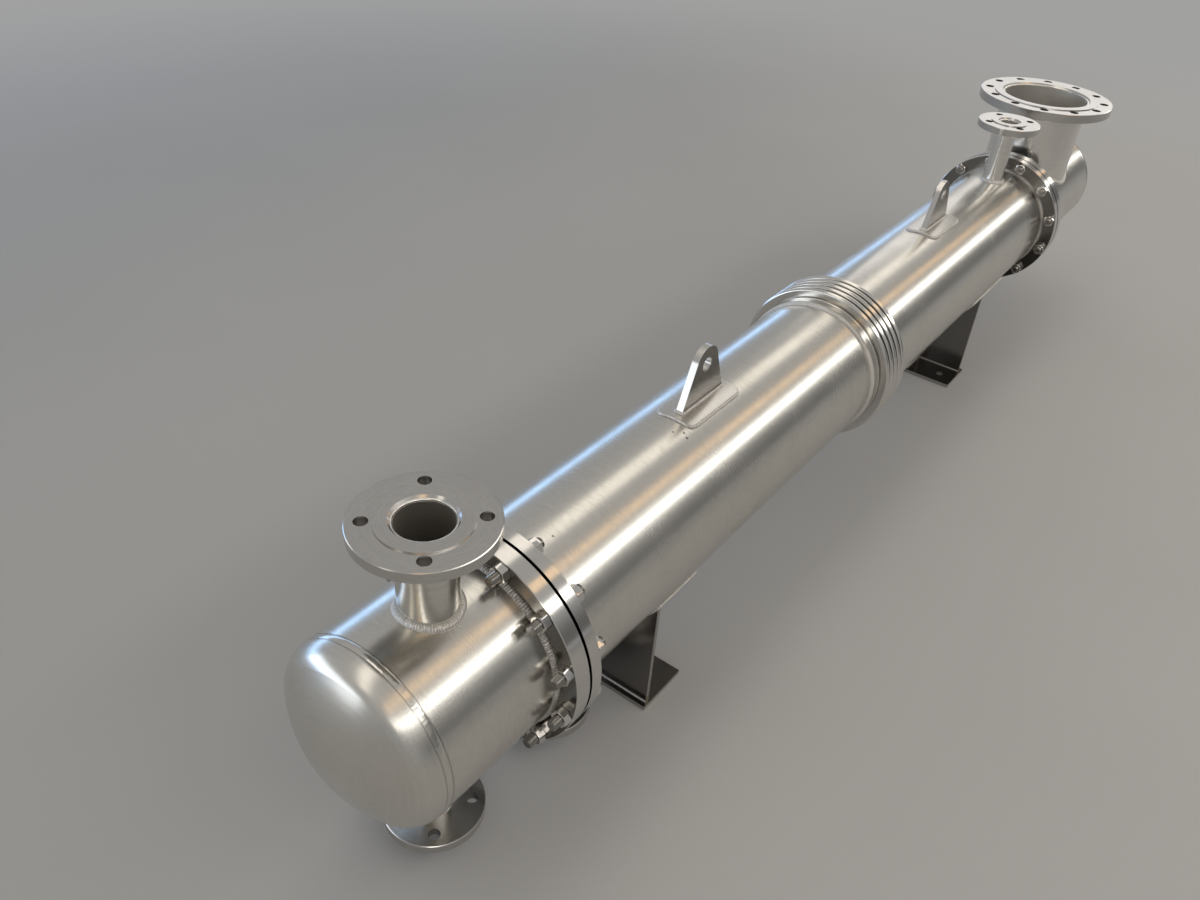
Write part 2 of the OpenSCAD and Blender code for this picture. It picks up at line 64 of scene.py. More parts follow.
class Signal:
    """A shader socket that takes part in Python expressions."""

    def __init__(self, bench: "NodeBench", socket: bpy.types.NodeSocket | None) -> None:
        """Keeps the socket and the bench that adds nodes behind it."""
        self.bench = bench
        self.socket = socket

    def __add__(self, other: "Signal | float") -> "Signal":
        """Adds a signal or a number."""
        return self.bench.maths("ADD", self, other)

    def __radd__(self, other: float) -> "Signal":
        """Adds this signal to a number."""
        return self.bench.maths("ADD", other, self)

    def __sub__(self, other: "Signal | float") -> "Signal":
        """Takes a signal or a number away."""
        return self.bench.maths("SUBTRACT", self, other)

    def __rsub__(self, other: float) -> "Signal":
        """Takes this signal away from a number."""
        return self.bench.maths("SUBTRACT", other, self)

    def __mul__(self, other: "Signal | float") -> "Signal":
        """Multiplies by a signal or a number."""
        return self.bench.maths("MULTIPLY", self, other)

    def __rmul__(self, other: float) -> "Signal":
        """Multiplies a number by this signal."""
        return self.bench.maths("MULTIPLY", other, self)

    def __truediv__(self, other: "Signal | float") -> "Signal":
        """Divides by a signal or a number."""
        return self.bench.maths("DIVIDE", self, other)

    def __rtruediv__(self, other: float) -> "Signal":
        """Divides a number by this signal."""
        return self.bench.maths("DIVIDE", other, self)

    def root(self) -> "Signal":
        """Takes the square root."""
        return self.bench.maths("SQRT", self)

    def sine(self) -> "Signal":
        """Takes the sine."""
        return self.bench.maths("SINE", self)

    def size(self) -> "Signal":
        """Drops the sign."""
        return self.bench.maths("ABSOLUTE", self)

    def step(self, low: float, high: float) -> "Signal":
        """Goes smoothly from 0 at the first value to 1 at the second one."""
        return self.bench.node(
            "ShaderNodeMapRange",
            {"interpolation_type": "SMOOTHSTEP"},
            {"Value": self, "From Min": low, "From Max": high},
        )


class NodeBench:
    """Builds one material's or one world's nodes."""

    def __init__(self, owner: Material | bpy.types.World) -> None:
        """Empties the owner's tree and keeps both."""
        owner.use_nodes = True
        self.owner = owner
        self.tree = owner.node_tree
        self.tree.nodes.clear()

    @classmethod
    def material(cls, name: str) -> "NodeBench":
        """Starts a new material."""
        return cls(bpy.data.materials.new(name))

    def node(
        self,
        kind: str,
        settings: dict[str, object] | None = None,
        inputs: dict[str | int, object] | None = None,
        output: str | int = 0,
    ) -> Signal:
        """Adds one node.

        Args:
            kind: The node's type name.
            settings: Properties to set first.
            inputs: Values or signals by socket name or number. A colour has three numbers.
            output: The output wanted.

        Returns:
            The wanted output as a signal.
        """
        made = self.tree.nodes.new(kind)
        for name, value in (settings or {}).items():
            setattr(made, name, value)
        for name, value in (inputs or {}).items():
            socket = made.inputs[name]
            if isinstance(value, Signal):
                self.tree.links.new(value.socket, socket)
            else:
                socket.default_value = (*value, 1.0) if socket.type == "RGBA" else value
        return Signal(self, made.outputs[output] if made.outputs else None)

    def maths(self, operation: str, *values: Signal | float) -> Signal:
        """Adds a Math node for the given signals or numbers."""
        return self.node("ShaderNodeMath", {"operation": operation}, dict(enumerate(values)))

    def parts(self, vector: Signal) -> tuple[Signal, Signal, Signal]:
        """Splits a vector into its three numbers."""
        inputs = {"Vector": vector}
        return tuple(self.node("ShaderNodeSeparateXYZ", inputs=inputs, output=axis) for axis in "XYZ")

    def spot(self) -> Signal:
        """Gives the place of a surface point in metres."""
        return self.node("ShaderNodeTexCoord", output="Object")

    def span(self, *offsets: Signal) -> Signal:
        """Gives the length of a line with the given offsets along its axes."""
        total = offsets[0] * offsets[0]
        for offset in offsets[1:]:
            total = total + offset * offset
        return total.root()

    def vector(self, x: Signal, y: Signal, z: Signal) -> Signal:
        """Joins three numbers into a vector."""
        return self.node("ShaderNodeCombineXYZ", inputs={"X": x, "Y": y, "Z": z})

    def noise(self, vector: Signal, scale: float = 1.0, detail: float = 2.0, rough: float = 0.5) -> Signal:
        """Adds a noise pattern on a vector, from 0 to 1."""
        inputs = {"Vector": vector, "Scale": scale, "Detail": detail, "Roughness": rough}
        return self.node("ShaderNodeTexNoise", inputs=inputs, output="Fac")

    def blend(self, amount: Signal, first: Signal | Triple, second: Signal | Triple) -> Signal:
        """Mixes two colours by an amount."""
        settings = {"data_type": "RGBA", "clamp_factor": True}
        return self.node("ShaderNodeMix", settings, {0: amount, 6: first, 7: second}, output=2)

    def surface(
        self, colour: Signal, rough: Signal, height: Signal, depth: float, metallic: float = 1.0
    ) -> Material:
        """Ends a material in its shader.

        Args:
            colour: Its colour.
            rough: Its roughness.
            height: Its unevenness, about from 0 to 1.
            depth: Depth of the unevenness in metres.
            metallic: 1 for metal, 0 for anything else.

        Returns:
            The finished material.
        """
        normal = self.node("ShaderNodeBump", inputs={"Height": height, "Distance": depth, "Strength": 1.0})
        inputs = {"Base Color": colour, "Metallic": metallic, "Roughness": rough, "Normal": normal}
        return self.finish(self.node("ShaderNodeBsdfPrincipled", inputs=inputs))

    def finish(self, shader: Signal, kind: str = "ShaderNodeOutputMaterial") -> Material | bpy.types.World:
        """Ends the tree in its output node and gives its owner."""
        self.node(kind, inputs={"Surface": shader})
        return self.owner


class GrainRun(Enum):
    """Way that the brushing, the turning marks or a weld bead runs over a surface."""

    ROUND_X = "round the long axis"
    ROUND_Z = "round an upright axis"
    ALONG_X = "along the axis"
    ALONG_Y = "across the axis"
    ALONG_Z = "upwards"


@dataclass(frozen=True)
class Grain:
    """Course of the marks, with the axis that round ones circle.

    Attributes:
        run: Which way the marks run.
        centre: A point on the axis of round marks.
    """

    run: GrainRun
    centre: Triple = (0.0, 0.0, AXIS_HEIGHT)

    def vector(self, bench: NodeBench, pitch: float, length: float) -> Signal:
        """Stretches space so that noise on it becomes marks.

        Args:
            bench: The nodes to add to.
            pitch: Spacing of neighbouring marks in metres.
            length: Length of a mark in metres.

        Returns:
            A vector for a noise texture of scale 1.
        """
        x, y, z = bench.parts(bench.spot())
        if self.run is GrainRun.ROUND_X:
            dy, dz = y - self.centre[1], z - self.centre[2]
            return bench.vector((x + bench.span(dy, dz)) / pitch, dy / length, dz / length)
        if self.run is GrainRun.ROUND_Z:
            dx, dy = x - self.centre[0], y - self.centre[1]
            return bench.vector(dx / length, dy / length, (z + bench.span(dx, dy)) / pitch)
        stretch = {
            GrainRun.ALONG_X: (length, pitch, pitch),
            GrainRun.ALONG_Y: (pitch, length, pitch),
            GrainRun.ALONG_Z: (pitch, pitch, length),
        }[self.run]
        return bench.vector(x / stretch[0], y / stretch[1], z / stretch[2])


ROUND_BARREL = Grain(GrainRun.ROUND_X)


class SpeckAndShade(Enum):
    """Colours of small dark specks on the metal, and of painted shade in bolt holes, bellows grooves, beside
    a seam and between flanges.
    """

    SPECK = (0.05, 0.045, 0.04)
    HOLE = (0.14, 0.13, 0.12)
    GROOVE = (0.05, 0.047, 0.043)
    SEAM = (0.17, 0.16, 0.145)
    GAP = (0.02, 0.02, 0.02)


@dataclass(frozen=True)
class BrushedSteel:
    """Stainless steel with a directional finish.

    Attributes:
        name: Name of the material.
        grain: Course of the marks.
        light, shade: Colours of clean metal and of the duller streaks.
        roughness, spread: Mean roughness, and how far it swings with the marks.
        pitch, length, relief: Spacing, length and depth of the marks in metres.
        clouds, fleck: Strength of the broad handling marks and of the single marks.
        specks: Middles of small dark marks.
        groove: Greatest and least radius of grooves round the barrel, and half their length, where painted
            shade darkens the grooves.
        shaded_stretch: Least and greatest station of the stretch between two flanges, painted dark as painted
            shade.
        toe: Station of a seam; a band beside it is painted darker, partly a dark weld toe and partly painted
            shade in the crease.
        plate, mill: Axis that a plate's broad faces look along, and the darker colour painted on those faces
            as painted shade for their dark reflections.
        bore: Radius inside which the metal is left rough.
        drilled: Least and greatest radius and height between which hole walls lie, which are left rough and
            painted darker as painted shade.
    """

    name: str
    grain: Grain
    light: Triple = (0.71, 0.69, 0.645)
    shade: Triple = (0.53, 0.515, 0.475)
    roughness: float = 0.25
    spread: float = 0.06
    pitch: float = 0.7 * MM
    length: float = 14 * MM
    relief: float = 0.005 * MM
    clouds: float = 0.25
    fleck: float = 0.40
    specks: tuple[Triple, ...] = ()
    groove: Triple | None = None
    shaded_stretch: tuple[float, float] | None = None
    toe: float | None = None
    plate: str = ""
    mill: Triple = (0.36, 0.345, 0.325)
    bore: float = 0.0
    drilled: tuple[float, float, float, float] | None = None

    def _worn(self, bench: NodeBench) -> Signal | None:
        """Finds where the metal is left as it was bored or drilled.

        Args:
            bench: The nodes to add to.

        Returns:
            1 in the bore or on hole walls and 0 elsewhere, or none where there are neither.
        """
        if not self.bore and not self.drilled:
            return None
        x, y, z = bench.parts(bench.spot())
        reach = bench.span(x - self.grain.centre[0], y - self.grain.centre[1])
        edge = 0.4 * MM
        if not self.drilled:
            return reach.step(self.bore + edge, self.bore - edge)
        inner, outer, low, high = self.drilled
        ring = reach.step(inner, inner + edge) * reach.step(outer, outer - edge)
        return ring * z.step(low, low + edge) * z.step(high, high - edge)

    def _marks(self, bench: NodeBench, fine: Signal, worn: Signal | None) -> list[tuple[Signal, Triple]]:
        """Finds the places whose colour differs from that of brushed metal.

        Args:
            bench: The nodes to add to.
            fine: The marks of the brush, which make small spots uneven.
            worn: Bored or drilled places, if there are any.

        Returns:
            Amount and colour of each kind, real specks and painted shade, in the order in which they cover
            each other.
        """
        x, y, z = bench.parts(bench.spot())
        marks: list[tuple[Signal, Triple]] = []
        spots: Signal | float = 0.0
        for index, (cx, cy, cz) in enumerate(self.specks):
            reach = bench.span(x - cx, y - cy, z - cz) + (fine - 0.5) * (3 * MM)
            spots = reach.step((2.0 + 0.3 * (index % 3)) * MM, 1.2 * MM) + spots
        if self.specks:
            marks.append((spots, SpeckAndShade.SPECK.value))
        # Painted shade: faces along the plate's axis take a darker colour for their dark reflections.
        if self.plate:
            normal = bench.node("ShaderNodeNewGeometry", output="Normal")
            facing = bench.node("ShaderNodeSeparateXYZ", inputs={"Vector": normal}, output=self.plate).size()
            marks.append((facing.step(0.85, 0.97), self.mill))
        # Painted shade on the bolt-hole walls.
        if self.drilled:
            marks.append((worn * 0.8, SpeckAndShade.HOLE.value))
        # Painted shade in the bellows grooves.
        if self.groove:
            crest, root, half = self.groove
            deep = bench.span(y - self.grain.centre[1], z - self.grain.centre[2]).step(crest, root)
            deep = deep * (x - self.grain.centre[0]).size().step(half, half - 2 * MM)
            marks.append((deep * 0.9, SpeckAndShade.GROOVE.value))
        # Darker band at a seam's toe: partly a dark weld toe, partly painted shade in the crease.
        if self.toe is not None:
            beside = (x - self.toe).size().step(7.6 * MM, 5.4 * MM)
            marks.append((beside * 0.5, SpeckAndShade.SEAM.value))
        # Painted shade on the stretch between the flanges.
        if self.shaded_stretch:
            low, high = self.shaded_stretch
            marks.append((x.step(low, low + 1 * MM) * x.step(high, high - 1 * MM), SpeckAndShade.GAP.value))
        return marks

    def material(self) -> Material:
        """Builds the material.

        Returns:
            A new material with its nodes.
        """
        bench = NodeBench.material(self.name)
        fine = bench.noise(self.grain.vector(bench, self.pitch, self.length))
        broad = bench.noise(self.grain.vector(bench, self.pitch * 9, self.length * 4), detail=1.0)
        hair = bench.noise(self.grain.vector(bench, self.pitch * 1.6, self.length * 0.6), detail=0.0)
        smear = bench.noise(bench.spot(), scale=7.0, detail=3.0, rough=0.6).step(0.35, 0.75)
        dull = fine.step(0.25, 0.75) * self.fleck + broad.step(0.3, 0.8) * 0.12
        dull = dull + smear * self.clouds + hair.step(0.70, 0.80) * 0.3
        colour = bench.blend(dull, self.light, self.shade)
        rough = (fine - 0.5) * (2 * self.spread) + (smear - 0.5) * (self.spread * 0.8) + self.roughness
        worn = self._worn(bench)
        if worn is not None:
            rough = worn * 0.22 + rough
        for amount, tone in self._marks(bench, fine, worn):
            colour = bench.blend(amount, colour, tone)
        return bench.surface(colour, rough, fine + broad * 0.1, self.relief)


@dataclass(frozen=True)
class WeldMetal:
    """Rippled metal of a weld bead.

    Attributes:
        name: Name of the material.
        grain: Course of the bead.
        radius: Radius of a round bead in metres.
        pitch, relief: Spacing and depth of its ripples in metres.
        soot, light: Colours of its discoloured and of its clean metal.
    """

    name: str
    grain: Grain
    radius: float = 0.1
    pitch: float = 3.0 * MM
    soot: Triple = (0.50, 0.48, 0.455)
    light: Triple = (0.76, 0.74, 0.71)
    relief: float = 0.9 * MM

    def _run(self, bench: NodeBench) -> Signal:
        """Measures along the bead.

        Args:
            bench: The nodes to add to.

        Returns:
            Distance along the bead in metres.
        """
        x, y, z = bench.parts(bench.spot())
        cx, cy, cz = self.grain.centre
        if self.grain.run is GrainRun.ROUND_X:
            return bench.maths("ARCTAN2", y - cy, z - cz) * self.radius
        if self.grain.run is GrainRun.ROUND_Z:
            return bench.maths("ARCTAN2", y - cy, x - cx) * self.radius
        return {GrainRun.ALONG_X: x, GrainRun.ALONG_Y: y, GrainRun.ALONG_Z: z}[self.grain.run]

    def material(self) -> Material:
        """Builds the material.

        Returns:
            A new material with its nodes.
        """
        bench = NodeBench.material(self.name)
        wander = bench.noise(bench.spot(), scale=140.0)
        ripple = (self._run(bench) * (math.tau / self.pitch) + wander * 9.0).sine() * 0.5 + 0.5
        grit = bench.noise(bench.spot(), scale=420.0, detail=3.0, rough=0.65)
        colour = bench.blend(ripple * 0.5 + grit.step(0.35, 0.7) * 0.5, self.light, self.soot)
        return bench.surface(colour, grit * 0.25 + ripple * 0.1 + 0.36, ripple + grit * 0.9, self.relief)


@dataclass(frozen=True)
class GasketSheet:
    """Dark compressed fibre of the flat gaskets."""

    name: str = "gasket_fibre"

    def material(self) -> Material:
        """Builds the material.

        Returns:
            A new material with its nodes.
        """
        bench = NodeBench.material(self.name)
        fibre = bench.noise(bench.spot(), scale=420.0, detail=3.0)
        colour = bench.blend(fibre, (0.018, 0.018, 0.02), (0.05, 0.048, 0.046))
        return bench.surface(colour, fibre * 0.2 + 0.6, fibre, 0.1 * MM, metallic=0.0)


class Bench:
    """Modelling bench: primitives, edit mode work and closing of pieces."""

    @staticmethod
    def clear() -> None:
        """Leaves edit mode and deselects everything."""
        if bpy.context.object and bpy.context.object.mode != "OBJECT":
            bpy.ops.object.mode_set(mode="OBJECT")
        bpy.ops.object.select_all(action="DESELECT")

    @classmethod
    def grab(cls, *pieces: Piece) -> None:
        """Selects pieces alone and makes the first one active."""
        cls.clear()
        for piece in pieces:
            piece.select_set(True)
        bpy.context.view_layer.objects.active = pieces[0]

    @staticmethod
    @contextmanager
    def edit() -> Iterator[None]:
        """Opens the active piece with all of it selected, and leaves edit mode at the end."""
        bpy.ops.object.mode_set(mode="EDIT")
        bpy.ops.mesh.select_mode(type="VERT")
        bpy.ops.mesh.select_all(action="SELECT")
        yield
        bpy.ops.object.mode_set(mode="OBJECT")

    @staticmethod
    def settle() -> None:
        """Writes the selected pieces' place, turn and size into their meshes."""
        bpy.ops.object.transform_apply(location=True, rotation=True, scale=True)

    @classmethod
    def circle(
        cls, radius: float, sides: int, centre: Triple = (0, 0, 0), upright: bool = False,
        filled: bool = False,
    ) -> Piece:
        """Adds a circle as the start of a piece.

        Args:
            radius: Radius in metres.
            sides: Number of vertices.
            centre: Its middle.
            upright: Whether it stands in the plane of X and Z, and not level.
            filled: Whether it carries a face.

        Returns:
            The new object.
        """
        cls.clear()
        fill, turn = "NGON" if filled else "NOTHING", (math.pi / 2 if upright else 0, 0, 0)
        bpy.ops.mesh.primitive_circle_add(
            vertices=sides, radius=radius, fill_type=fill, location=centre, rotation=turn
        )
        cls.settle()
        return bpy.context.object

    @classmethod
    def turned(cls, sides: int, rows: Sequence[tuple[float, float]]) -> Piece:
        """Raises a solid of revolution along Z, disc by disc.

        Args:
            sides: Number of vertices round it.
            rows: Height and radius of each disc, from the foot up.

        Returns:
            The closed solid.
        """
        height, radius = rows[0]
        piece = cls.circle(radius, sides, filled=True)
        with cls.edit():
            for station, reach in rows[1:]:
                bpy.ops.mesh.extrude_region_move(TRANSFORM_OT_translate={"value": (0, 0, station - height)})
                bpy.ops.transform.resize(value=(reach / radius, reach / radius, 1), center_override=(0, 0, 0))
                height, radius = station, reach
        cls.outward(piece)
        return piece

    @staticmethod
    def choose(piece: Piece, kind: str, test: Callable[[Part], bool]) -> None:
        """Selects only the faces or edges that pass a test, in edit mode.

        Args:
            piece: The piece being edited.
            kind: FACE or EDGE.
            test: Takes a face or an edge.
        """
        bpy.ops.mesh.select_mode(type=kind)
        bpy.ops.mesh.select_all(action="DESELECT")
        shape = bmesh.from_edit_mesh(piece.data)
        for part in shape.faces if kind == "FACE" else shape.edges:
            part.select_set(test(part))
        bmesh.update_edit_mesh(piece.data)

    @classmethod
    def modify(cls, piece: Piece, kind: str, **settings: object) -> None:
        """Adds a modifier, sets it and applies it.

        Args:
            piece: The piece to change.
            kind: The modifier's type.
            settings: Its properties.
        """
        cls.grab(piece)
        bpy.ops.object.modifier_add(type=kind)
        modifier = piece.modifiers[-1]
        for name, value in settings.items():
            setattr(modifier, name, value)
        bpy.ops.object.modifier_apply(modifier=modifier.name)

    @classmethod
    def outward(cls, piece: Piece) -> None:
        """Merges doubled vertices and turns every face outwards."""
        cls.grab(piece)
        with cls.edit():
            bpy.ops.mesh.remove_doubles(threshold=1e-6)
            bpy.ops.mesh.normals_make_consistent(inside=False)

    @classmethod
    def close(
        cls, piece: Piece, name: str, material: Material, slot: str = "weld", angle: float = 60.0
    ) -> None:
        """Names, smooths and dresses a finished piece and sets it on the machine.

        Args:
            piece: The finished mesh.
            name: Its name.
            material: Its material.
            slot: Not used.
            angle: Edges sharper than this many degrees stay sharp.
        """
        cls.grab(piece)
        cls.settle()
        bpy.ops.object.shade_smooth_by_angle(angle=math.radians(angle))
        piece.name = name
        piece.data.name = name
        piece.data.materials.clear()
        piece.data.materials.append(material)
        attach(piece, "root")
        cls.clear()

    @classmethod
    def joined(cls, pieces: Sequence[Piece]) -> Piece:
        """Joins pieces into the first one."""
        cls.grab(*pieces)
        bpy.ops.object.join()
        return bpy.context.object


@dataclass(frozen=True)
class BeadMaker:
    """Makes weld beads as an even hand lays them.

    Attributes:
        lump, grain: Greatest height of the unevenness, and size of its lumps.
        sides: Number of vertices round a bead.
        barrel_steps, nozzle_steps: Number of steps of a ring round the barrel or a nozzle.
        margin: How much an outline is larger than what it goes round.
        above: Height at which an outline is drawn, clear of the barrel.
    """

    lump: float = 1.2 * MM
    grain: float = 3.5 * MM
    sides: int = 12
    barrel_steps: int = 460
    nozzle_steps: int = 96
    margin: float = 1.5 * MM
    above: float = 0.6

    def _closed(self, piece: Piece, *halves: float) -> Piece:
        """Turns a bead's faces outwards and gives it the slight unevenness of weld metal.

        Args:
            piece: The bead.
            halves: Its half sizes.

        Returns:
            The bead.
        """
        Bench.outward(piece)
        texture = bpy.data.textures.new("lumps", type="CLOUDS")
        texture.noise_scale = self.grain
        depth = min(self.lump, *(half * 0.3 for half in halves))
        Bench.modify(piece, "DISPLACE", texture=texture, strength=depth, mid_level=0.5)
        bpy.data.textures.remove(texture)
        return piece

    def ring(self, centre: Triple, run: GrainRun, radius: float, wide: float, high: float) -> Piece:
        """Spins an oval section round the barrel or round a nozzle.

        Args:
            centre: Point on the axis, level with the bead.
            run: Round the long axis or round an upright one.
            radius: Radius of the section's middle.
            wide: Half size of the section along the axis.
            high: Half size of the section away from it.

        Returns:
            The closed ring.
        """
        if run is GrainRun.ROUND_X:
            size, arm, axis, steps = (wide, 1.0, high), (0, 0, radius), (1, 0, 0), self.barrel_steps
        else:
            size, arm, axis, steps = (high, 1.0, wide), (radius, 0, 0), (0, 0, 1), self.nozzle_steps
        piece = Bench.circle(1.0, self.sides, upright=True)
        with Bench.edit():
            bpy.ops.transform.resize(value=size, center_override=(0, 0, 0))
            bpy.ops.transform.translate(value=Vector(centre) + Vector(arm))
            bpy.ops.mesh.spin(steps=steps, angle=math.tau, center=centre, axis=axis, use_auto_merge=True)
        return self._closed(piece, wide, high)

    def barrel_ring(self, station: float, radius: float, wide: float, high: float) -> Piece:
        """Spins an oval section round the barrel at a station."""
        return self.ring((station, 0, AXIS_HEIGHT), GrainRun.ROUND_X, radius, wide, high)

    def laid(self, path: Piece, former: str, upward: bool, lift: float, thick: float) -> Piece:
        """Lays a bead on a surface along an outline drawn above or below it.

        Args:
            path: Mesh of edges only.
            former: Node that the outline is dropped on.
            upward: Whether it moves up to the surface, and not down.
            lift: Height of the bead's middle over the surface.
            thick: Radius of the bead.

        Returns:
            The bead as a closed mesh.
        """
        Bench.modify(
            path, "SHRINKWRAP", wrap_method="PROJECT", target=bpy.data.objects[former], use_project_z=True,
            use_negative_direction=not upward, use_positive_direction=upward,
        )
        with Bench.edit():
            bpy.ops.transform.translate(value=(0, 0, -lift if upward else lift))
        Bench.grab(path)
        bpy.ops.object.convert(target="CURVE")
        curve = bpy.context.object.data
        curve.dimensions = "3D"
        curve.bevel_depth = thick
        curve.bevel_resolution = 3
        curve.use_fill_caps = True
        bpy.ops.object.convert(target="MESH")
        return self._closed(bpy.context.object, thick)

    def outline(self, node: str, corner: float) -> Piece:
        """Draws a rounded rectangle of edges just outside a node, level over the barrel.

        Args:
            node: The node.
            corner: Radius of its corners.

        Returns:
            A mesh of edges only.
        """
        low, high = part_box(node)
        Bench.clear()
        bpy.ops.mesh.primitive_plane_add(size=1, location=(middle(node).x, 0, self.above))
        piece = bpy.context.object
        piece.scale = (high.x - low.x + self.margin, high.y - low.y + self.margin, 1)
        Bench.settle()
        with Bench.edit():
            bpy.ops.mesh.bevel(offset=corner, segments=8, affect="VERTICES")
            bpy.ops.mesh.select_all(action="SELECT")
            bpy.ops.mesh.delete(type="ONLY_FACE")
            Bench.choose(piece, "EDGE", lambda edge: edge.calc_length() > corner * 0.5)
            bpy.ops.mesh.subdivide(number_cuts=30)
        return piece

    def arc(self, station: float, radius: float, half: float, thick: float) -> Piece:
        """Spins a bead part of the way round the barrel, across its bottom line.

        Args:
            station: Its place along the axis.
            radius: Distance from the axis.
            half: Half of its angle in degrees.
            thick: Radius of the bead.

        Returns:
            The closed bead.
        """
        centre = Vector((station, 0, AXIS_HEIGHT))
        angle = math.radians(half)
        piece = Bench.circle(thick, self.sides, (station, 0, AXIS_HEIGHT - radius), upright=True)
        turn = Matrix.Rotation(angle, 4, "X")
        piece.matrix_world = Matrix.Translation(centre) @ turn @ Matrix.Translation(-centre)
        Bench.settle()
        steps = int(2 * angle * radius / self.grain)
        with Bench.edit():
            bpy.ops.mesh.spin(steps=steps, angle=2 * angle, center=centre, axis=(1, 0, 0))
            bpy.ops.mesh.select_all(action="SELECT")
            bpy.ops.mesh.fill_holes(sides=0)
        return self._closed(piece, thick)

    def straight(self, start: Triple, end: Triple, thick: float) -> Piece:
        """Lays a straight bead between two points.

        Args:
            start: One end.
            end: The other end.
            thick: Radius of the bead.

        Returns:
            The bead as a closed mesh.
        """
        a, b = Vector(start), Vector(end)
        way, length = (b - a).normalized(), (b - a).length
        turn = (b - a).to_track_quat("Z", "Y").to_euler()
        Bench.clear()
        bpy.ops.mesh.primitive_cylinder_add(
            vertices=self.sides, radius=thick, depth=length, location=(a + b) / 2, rotation=turn
        )
        piece = bpy.context.object
        Bench.settle()
        with Bench.edit():
            Bench.choose(piece, "FACE", lambda face: abs(face.normal.dot(way)) > 0.9)
            bpy.ops.mesh.bevel(offset=thick * 0.6, segments=3, affect="EDGES")
            Bench.choose(piece, "EDGE", lambda edge: edge.calc_length() > length * 0.5)
            bpy.ops.mesh.subdivide(number_cuts=max(4, int(length / (4 * MM))))
        return self._closed(piece, thick)


BEADS = BeadMaker()


class End(Enum):
    """Which end of the machine a sub-assembly belongs to."""

    NEAR = "near"
    FAR = "far"

    @property
    def inward(self) -> int:
        """Sign of the way from this end to the middle."""
        return 1 if self is End.NEAR else -1


def middle(node: str) -> Vector:
    """Gives the middle of a node's box."""
    low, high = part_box(node)
    return (low + high) / 2


def side(node: str, way: int) -> float:
    """Gives the station of a node's side that looks the way of a sign."""
    low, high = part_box(node)
    return high.x if way > 0 else low.x


def half_width(node: str) -> float:
    """Gives half of a node's size across the machine."""
    low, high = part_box(node)
    return (high.y - low.y) / 2


